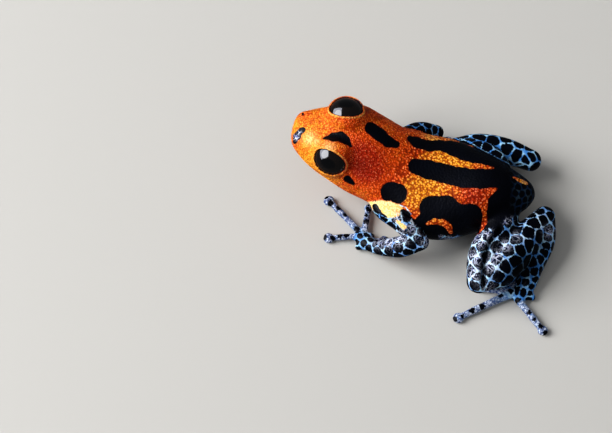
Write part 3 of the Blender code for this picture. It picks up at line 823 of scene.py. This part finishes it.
net = np.where(anyLimb, 1.0, 0.0)
net = np.where(leftArm & (palePatch < 0), 0.9 * (palePatch > -0.1), net)
net *= eased(standOff, 0.06, 0.3)
netShade = (
    # places where the net is painted faint as shade on the leg: along, up, reach, amount
    (6.1, -6.9, 0.85, 0.85), (5.2, -8.0, 0.7, 0.55), (7.3, -5.2, 0.8, 0.55), (6.9, -6.6, 0.7, 0.45),
    (5.6, -7.1, 0.7, 0.75), (5.9, -6.2, 0.5, 0.5),
)


def sheetSpot(along, up, reach):
    return np.exp(-((sheet[:, 0] - along) ** 2 + (sheet[:, 1] - up) ** 2) / reach**2)


def strongest(field, spots, shape):
    for along, up, reach, amount in spots:
        field = np.maximum(field, amount * shape(along, up, reach))
    return field


for along, up, reach, amount in netShade:
    net *= 1 - amount * sheetSpot(along, up, reach)
# painted shade in the fold between thigh and shank: the net and the painted highlights fade there
foldShade = bell(sheetGap(points, fold["line"]), fold["shade"]) * (y > fold["behind"]) * onLimb
net *= 1 - 0.85 * foldShade
onTrunk = ~onLimb
seam -= 0.008 * onPieces("thighRight", "shankRight")  # wider lines on the right leg, thinner ones on the arms
seam += 0.012 * (onPieces("upperArm", "forearm", "palm") & onLimb & ~isDigit)
net = np.where(onTrunk, 0.6 * eased(1.5 - z, 0, 0.4) * (y > 7.4), net)
bellyNet = sheetMark("bellyNet")
net = np.where(onTrunk, np.maximum(net, 0.8 * eased(-bellyNet, -0.1, 0.08)), net)
net = np.where(onTrunk & (seen[:, 0] > 4.9), np.maximum(net, 0.06 * eased(seen[:, 0], 4.9, 5.8)), net)

farLine = np.array(markings["farRim"])
farLeg = onPieces("thighRight", "shankRight") & onLimb
farLeg &= (sheet[:, 0] > farLine[0, 0]) & (sheet[:, 0] < farLine[-1, 0])
overRim = sheet[:, 1] - np.interp(sheet[:, 0], *farLine.T)
net = np.where(farLeg, net * eased(overRim, -0.12, -0.04), net)
seam = np.where(farLeg, np.minimum(seam, sheetGap(points, farLine)), seam)
armRim = np.where(shoulder, sheetGap(points, markings["armRim"]), 9)
onRim = eased(0.2 - armRim, 0, 0.05)
net = np.maximum(net, onRim)
seam = np.minimum(seam, armRim)

glow = {
    # soft patches of more yellow skin, of painted highlights (one of them the pale rump fleck) and of redder
    # skin: along, up, reach, amount
    "amber": (
        (-1.8, -1.45, 0.95, 0.9), (-0.7, -1.2, 0.7, 0.8), (0.6, -1.45, 0.8, 0.2), (0.35, 0.95, 0.9, 0.55),
        (1.6, 0.62, 0.8, 0.75), (-1.1, 1.15, 0.6, 0.3), (-8.8, 3.6, 1.2, 0.22), (-9.4, 2.2, 0.6, 0.5),
        (-8.0, 1.6, 0.7, 0.3), (-8.7, -0.5, 0.9, 0.3), (-6.7, -1.9, 1.0, 0.15), (-0.5, 2.45, 0.6, 0.5),
        (-0.2, -3.7, 0.7, 0.2), (-9.3, 0.6, 0.7, 0.45), (-8.0, -0.7, 0.7, 0.2), (-10.4, 3.2, 0.9, 0.35),
        (-10.0, 1.2, 0.8, 0.3), (6.1, -0.75, 0.5, 0.8), (-7.2, 3.4, 1.0, 0.1),
    ),
    # painted highlights on the snout, brow, beside the right eye and on the top edge of the back; the one at
    # 6.1, -0.75 is the pale fleck on the rump
    "highlightAndFleck": (
        (-9.4, 2.4, 0.42, 0.6), (-8.95, 2.2, 0.3, 0.35), (-8.0, 1.78, 0.36, 0.5), (-8.05, 4.95, 0.18, 0.35),
        (6.1, -0.75, 0.16, 0.5), (-0.4, 2.55, 0.45, 0.15), (0.8, 2.35, 0.4, 0.18),
    ),
    "red": (
        (-5.7, 0.6, 1.1, 0.5), (-5.2, 1.5, 1.0, 0.35), (-4.6, 0.0, 1.1, 0.32), (2.6, -1.7, 0.9, 0.35),
        (-6.9, 4.1, 0.6, 0.2), (-3.4, -0.4, 0.8, 0.16), (-1.6, 1.5, 0.5, 0.2),
    ),
    "base": 0.5,
    # painted shade in the hollows behind the right eye: along, up, reach along, reach up
    "hollow": ((-5.75, 4.95, 0.4, 0.3), (-5.2, 4.45, 0.4, 0.25), (-4.4, 3.9, 0.5, 0.2)),
}


def softSpot(along, up, reachAlong, reachUp=None):
    reachUp = reachUp or reachAlong
    near, far = (np.exp(-((place[:, 0] - along) / reachAlong) ** 2 - ((place[:, 1] - up) / reachUp) ** 2)
                 for place in (sheet, sheetMirror))
    return near * (1 - crossing) + far * crossing


warm = np.full(len(points), glow["base"])
for kind, sign in (("amber", 1), ("red", -1)):
    for along, up, reach, amount in glow[kind]:
        warm += sign * amount * softSpot(along, up, reach)
warm += 0.5 * eased(3.2 - z, 0, 1.2) * (y < 7)
warm = np.clip(warm + 0.5 * lidRim, 0, 1.2)
# the cream patch of the arm and the pale lid rims, then the painted highlights in the same cream
creamAndHighlight = np.maximum(eased(-palePatch, -0.02, 0.04), 0.25 * lidRim)
creamAndHighlight = strongest(creamAndHighlight, glow["highlightAndFleck"], softSpot)
# painted shade: dark red behind the left eye and in the hollows behind the right eye
paintedShade = 0.8 * softSpot(-5.8, 0.45, 0.8, 0.6) + 0.5 * softSpot(-6.15, 1.6, 0.4, 0.5)
for hollow in glow["hollow"]:
    paintedShade = np.maximum(paintedShade, softSpot(*hollow))
# painted shade along the crease of the mouth
paintedShade += 1.2 * bell(rise, 0.05) * mouthFade(points)
coarse = eased(y, 6.2, 9.0) * onTrunk
pale = eased(digitShare, 0.16, 0.4)
sparkleSpots = (
    # places where the granules of the limbs carry painted lilac white highlights: along, up, reach, amount
    (-3.6, -4.95, 0.42, 0.8), (-2.9, -4.75, 0.42, 0.9), (-4.35, -5.0, 0.36, 0.7), (-2.0, -3.95, 0.34, 0.7),
    (-3.05, -3.22, 0.24, 0.9), (-0.95, -5.05, 0.36, 0.5), (-5.15, -4.0, 0.3, 0.4), (-1.75, -4.5, 0.3, 0.4),
    (2.85, -4.85, 0.45, 0.9), (3.35, -4.45, 0.35, 0.7), (2.45, -6.2, 0.42, 0.9), (2.42, -7.25, 0.42, 0.9),
    (3.62, -6.75, 0.34, 0.95), (4.0, -6.05, 0.36, 0.95), (4.65, -5.3, 0.32, 0.9), (5.5, -4.65, 0.28, 0.5),
    (3.3, -8.2, 0.5, 0.35), (7.9, -4.3, 0.4, 0.35),
)
hipSparkle = ((4.75, -3.58, 0.19, 0.9), (5.15, -3.42, 0.16, 0.7))
# painted highlight: the lilac inside the black nose spot is its wet shine
noseSheen = ((-10.38, 2.5, 0.2, 1.0), (-10.12, 2.82, 0.15, 0.8))  # the black nose spot shines lilac inside
# painted highlights: the net is paler round the painted granule highlights and on the knee
netHighlightSpots = [*((along, up, 2.2 * reach, amount) for along, up, reach, amount in sparkleSpots),
         (6.9, -3.6, 0.9, 0.8), (5.9, -4.4, 0.7, 0.7)]
netRimAndHighlight = strongest(onRim, netHighlightSpots, sheetSpot)
paintedSparkle = strongest(np.zeros(len(points)), sparkleSpots, sheetSpot)
paintedSparkle *= onLimb * eased(standOff, 0.1, 0.4) * (1 - foldShade)
paintedSparkle = np.maximum(paintedSparkle, 0.4 * eased(-bellyNet, 0.0, 0.12) * onTrunk)
paintedSparkle = np.maximum(paintedSparkle, strongest(0, hipSparkle, sheetSpot) * (towards > 0.2))
paintedSparkle = np.maximum(paintedSparkle, strongest(0, noseSheen, softSpot) * (black < 0))

# the cream patch attribute also holds the painted highlights; the shade and sparkle attributes hold painted
# shade and painted highlights
fields = {
    "blackField": black, "seam": seam, "net": net, "warm": warm, "paintedShade": np.clip(paintedShade, 0, 1), "coarse": coarse,
    "pale": pale, "palePatch": creamAndHighlight, "limb": onLimb, "paintedSparkle": paintedSparkle, "netRimAndHighlight": netRimAndHighlight,
}
for name, values in fields.items():
    storeField(skinMesh, name, values)
print("markings laid out")

# Granular skin as real relief on the back
grain = {"size": 0.2, "height": 0.014}
relief = np.zeros(len(points))
for k in np.nonzero((coarse > 0.02) & (black > 0.05))[0]:
    gaps, _ = noise.voronoi(Vector(points[k]) / grain["size"])
    relief[k] = 0.5 - min(gaps[0], 1.0)
points += normals * (relief * coarse * grain["height"] * 2)[:, None]
writePoints(points)

skinMesh.transform(Matrix.Translation(-Vector(layout["shift"])))
skinMesh.transform(Matrix.Scale(mm, 4))
skinMesh.shade_smooth()
skin = newObject("frog_skin", skinMesh)

# Eyes
eyeball = {"segments": 64, "rings": 40, "pupilLong": 1.25, "pupilHigh": 0.85}
eyePieces = {}
for side, word in ((1, "left"), (-1, "right")):
    bm = bmesh.new()
    bmesh.ops.create_uvsphere(bm, u_segments=eyeball["segments"], v_segments=eyeball["rings"],
                              radius=eyes["radius"] * mm)
    axis, ahead, lift = eyeFrame(side)
    turn = Matrix((ahead, lift, axis)).transposed()
    bmesh.ops.rotate(bm, cent=(0, 0, 0), matrix=turn, verts=bm.verts)
    bmesh.ops.translate(bm, vec=placed(eyeSeats[side]), verts=bm.verts)
    mesh = meshFrom(bm, "eyeball_" + word)
    ball = np.array([tuple(v.co) for v in mesh.vertices]) / mm
    offset = (ball - np.array(placed(eyeSeats[side])) / mm) / eyes["radius"]
    reach = np.sqrt((offset @ ahead / eyeball["pupilLong"]) ** 2 + (offset @ lift / eyeball["pupilHigh"]) ** 2)
    storeField(mesh, "fromPupil", reach)
    mesh.shade_smooth()
    eyePieces[word] = newObject("eyeball_" + word, mesh)
print("eyes made")

# Materials
skinFinish = {
    "red": "#a81f04", "orange": "#e64d0c", "amber": "#ffa220",
    "creviceRed": "#650f01", "creviceAmber": "#8c2a06", "shadeRed": "#5c0d02",
    "speckleAndGlint": "#ffd268", "cream": "#f5e4a6", "black": "#010102", "blackBlue": "#04060e",
    "netBlue": "#3c80cf", "netPale": "#9ccff0", "netWhite": "#dcf0ff", "glintRed": "#ff9864",
    "sparkleLilac": "#747ebc", "sparkleWhite": "#dfe5fd", "digitShade": "#3a4c7a", "digitLight": "#d6e2f6",
    "backGrain": 0.17, "headGrain": 0.135, "limbGrain": 0.14, "lineHalf": 0.036, "webCell": 0.42,  # mm
}


def skinMaterial():
    # Moist frog skin: a thin wet film over fine granules, with crisp black spots and a blue net on the limbs;
    # granule highlights, lilac sparkle and some shade are painted into the colour
    material, tree, shader = newMaterial("moistFrogSkin")
    place = addNode(tree, "TexCoord").outputs["Object"]

    def field(name):
        return addNode(tree, "Attribute", attribute_name=name).outputs["Fac"]

    def sums(kind, *terms):
        return addNode(tree, "Math", dict(enumerate(terms)), operation=kind).outputs[0]

    def times(a, b):
        return sums("MULTIPLY", a, b)

    def scaled(value, factor, offset):
        return sums("MULTIPLY_ADD", value, factor, offset)

    def swayed(value, amount, offset):
        return scaled(sums("SUBTRACT", value, 0.5), amount, offset)

    def mixed(share, a, b):
        a, b = (hexToLinear(skinFinish[each]) if isinstance(each, str) else each for each in (a, b))
        return addNode(tree, "Mix", {0: share, 6: a, 7: b}, data_type="RGBA").outputs[2]

    def blended(share, a, b):
        return addNode(tree, "Mix", {0: share, 2: a, 3: b}, data_type="FLOAT").outputs[0]

    def ramped(value, low, high, start=0.0, end=1.0):
        inputs = {"Value": value, "From Min": low, "From Max": high, "To Min": start, "To Max": end}
        return addNode(tree, "MapRange", inputs, interpolation_type="SMOOTHSTEP").outputs[0]

    def grainAt(size):
        inputs = {"Vector": place, "Scale": 1 / (size * mm), "Randomness": 0.9}
        return addNode(tree, "TexVoronoi", inputs).outputs["Distance"]

    def noiseAt(size, detail=2.0):
        inputs = {"Vector": place, "Scale": 1 / (size * mm), "Detail": detail}
        return addNode(tree, "TexNoise", inputs).outputs["Fac"]

    tiny, fine, broad = noiseAt(0.16), noiseAt(0.3), noiseAt(1.3, 3.0)
    # black markings, their edges ragged by the granules they run between
    blackShare = ramped(swayed(fine, 0.14, field("blackField")), -0.02, 0.03, 1.0, 0.0)
    # granules, larger on the back than on the head, with painted highlights on their tops and dark red between
    # them, partly their own colour and partly painted shade
    granule = blended(field("coarse"), grainAt(skinFinish["headGrain"]), grainAt(skinFinish["backGrain"]))
    granule = blended(field("limb"), granule, grainAt(skinFinish["limbGrain"]))
    warmth = swayed(noiseAt(0.22), 0.7, swayed(broad, 0.5, field("warm")))
    ground = mixed(ramped(warmth, 0.0, 0.5), "red", "orange")
    ground = mixed(ramped(warmth, 0.42, 1.05), ground, "amber")
    # painted shade in part: the dark red in the crevices between the granules
    crevice = times(ramped(granule, 0.28, 0.68), scaled(field("coarse"), 0.28, 0.62))
    ground = mixed(crevice, ground, mixed(ramped(warmth, 0.45, 1.0), "creviceRed", "creviceAmber"))
    # painted highlight: glinting granule tops, pink red on the nape and yellow elsewhere
    glint = times(ramped(granule, 0.4, 0.14), ramped(tiny, 0.35, 0.65, 0.15, 1.0))
    glint = times(glint, scaled(field("coarse"), 0.45, 0.5))
    ground = mixed(glint, ground, mixed(ramped(warmth, 0.25, 0.85), "glintRed", "speckleAndGlint"))
    # painted shade: darker red behind the eyes and along the mouth
    ground = mixed(times(field("paintedShade"), 0.72), ground, "shadeRed")
    cream = mixed(ramped(fine, 0.42, 0.7, 0.0, 0.6), "cream", "speckleAndGlint")
    cream = mixed(ramped(granule, 0.35, 0.72, 0.0, 0.6), cream, "amber")
    # the cream arm patch, lid rims and painted highlights
    ground = mixed(field("palePatch"), ground, cream)
    inky = mixed(broad, "black", "blackBlue")
    body = mixed(blackShare, ground, inky)
    # the net between the black cells of the limbs
    width = swayed(fine, 0.1, skinFinish["lineHalf"])
    ragged = times(sums("SUBTRACT", tiny, 0.5), scaled(field("pale"), 0.25, 0.1))
    line = ramped(sums("SUBTRACT", sums("ADD", width, ragged), field("seam")), -0.016, 0.016)
    netHue = mixed(ramped(noiseAt(0.45), 0.4, 0.66), "netBlue", "netPale")
    # near white for the rim line of the arm patch and for the painted highlights of the net
    netHue = mixed(times(field("netRimAndHighlight"), ramped(fine, 0.35, 0.55)), netHue, "netWhite")
    mottle = scaled(noiseAt(0.14), 1.5, ramped(granule, 0.1, 0.7, 0.05, -0.75))
    fingers = mixed(mottle, "digitShade", "digitLight")
    netHue = mixed(times(field("pale"), ramped(fine, 0.15, 0.42)), netHue, fingers)
    # painted highlights: lilac white granule tips where the light blue of the limbs spreads, over a faint
    # painted lilac haze
    sparkleColour = mixed(ramped(noiseAt(0.2), 0.32, 0.54), "sparkleLilac", "sparkleWhite")
    body = mixed(times(field("paintedSparkle"), 0.06), body, "sparkleLilac")
    web = addNode(tree, "TexVoronoi", {"Vector": place, "Scale": 1 / (skinFinish["webCell"] * mm)},
                  feature="DISTANCE_TO_EDGE").outputs["Distance"]
    tips = sums("MAXIMUM", ramped(granule, 0.46, 0.26), ramped(web, 0.085, 0.03))
    body = mixed(times(field("paintedSparkle"), tips), body, sparkleColour)
    netShare = times(line, field("net"))
    body = mixed(netShare, body, netHue)
    tree.links.new(body, shader.inputs["Base Color"])
    tree.links.new(blended(field("limb"), 0.48, 0.26), shader.inputs["Roughness"])
    lumps = times(sums("SUBTRACT", 1.0, granule), scaled(blackShare, -0.7, 1.0))
    relief = addNode(tree, "Bump", {"Height": lumps, "Strength": 0.9, "Distance": 0.00007})
    raised = addNode(tree, "Bump", {"Height": netShare, "Strength": 0.4, "Distance": 0.00003,
                                              "Normal": relief.outputs[0]})
    tree.links.new(raised.outputs[0], shader.inputs["Normal"])
    shader.inputs["IOR"].default_value = 1.4
    shader.inputs["Specular IOR Level"].default_value = 0.04
    return material


def eyeMaterial():
    # Wet cornea over a dark brown, almost black, iris: a hard bright reflection on near black
    material, tree, shader = newMaterial("wetCornea")
    fromPupil = addNode(tree, "Attribute", attribute_name="fromPupil").outputs["Fac"]
    ring = addNode(tree, "MapRange", {"Value": fromPupil, "From Min": 0.3, "From Max": 0.36},
                   interpolation_type="SMOOTHSTEP").outputs[0]
    hue = addNode(tree, "Mix", {0: ring, 6: hexToLinear("#020203"), 7: hexToLinear("#0c0807")},
                  data_type="RGBA").outputs[2]
    tree.links.new(hue, shader.inputs["Base Color"])
    shader.inputs["Roughness"].default_value = 0.06
    shader.inputs["IOR"].default_value = 1.376
    return material


skinMesh.materials.clear()
skinMesh.materials.append(skinMaterial())
cornea = eyeMaterial()
for piece in eyePieces.values():
    piece.data.materials.append(cornea)
print("materials made")

# Floor and light
studio = {"floor": "#b2b0ab", "floorSize": 1.2, "world": "#dfe4ea", "worldStrength": 0.16}
bm = bmesh.new()
bmesh.ops.create_grid(bm, x_segments=1, y_segments=1, size=studio["floorSize"] / 2)
floor = newObject("floor", meshFrom(bm, "floor"))
paper, _, shader = newMaterial("paleBackdropPaper")
shader.inputs["Base Color"].default_value = hexToLinear(studio["floor"])
shader.inputs["Roughness"].default_value = 0.9
floor.data.materials.append(paper)
floor.visible_glossy = False  # as black card round the set would: the floor stays out of the wet eyes

lights = {
    # direction from the frog as across, up and towards the camera; distance and size in metres; watts
    "key": ((-0.78, 0.27, 0.56), 0.3, 0.25, 1.75, "DISK", (1, 1, 1)),
    "catch": ((-0.82, 0.36, 0.44), 0.3, 0.3, 3.8, "SQUARE", (0.86, 0.87, 1)),
    "fill": ((0.2, 0.25, 0.95), 0.4, 0.9, 0.66, "DISK", (1, 1, 1)),
}
heart = placed((0, 9, 3))
for name, ((aside, lifted, ahead), distance, size, power, shape, tint) in lights.items():
    data = bpy.data.lights.new(name, "AREA")
    data.shape, data.size, data.energy, data.color = shape, size, power, tint
    lamp = newObject(name, data)
    lamp.visible_diffuse = name != "catch"  # the catch light only shines back from wet surfaces
    lamp.visible_glossy = name != "fill"
    direction = (across * aside + upward * lifted + toCamera * ahead).normalized()
    lamp.location = heart + direction * distance
    lamp.rotation_euler = direction.to_track_quat("Z", "Y").to_euler()
world = bpy.data.worlds.new("studio")
world.use_nodes = True
sky = world.node_tree.nodes["Background"].inputs
sky["Color"].default_value = hexToLinear(studio["world"])
sky["Strength"].default_value = studio["worldStrength"]
bpy.context.scene.world = world
bpy.context.scene.view_settings.view_transform = "Standard"
print("stage lit")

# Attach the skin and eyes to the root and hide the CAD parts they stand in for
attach(skin, "root")
fleshNodes = [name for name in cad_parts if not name.startswith("eye_")]
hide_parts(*fleshNodes)
for word, piece in eyePieces.items():
    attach(piece, "root")
    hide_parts("eye_" + word)
print("skin triangles", sum(len(p.vertices) - 2 for p in skinMesh.polygons))
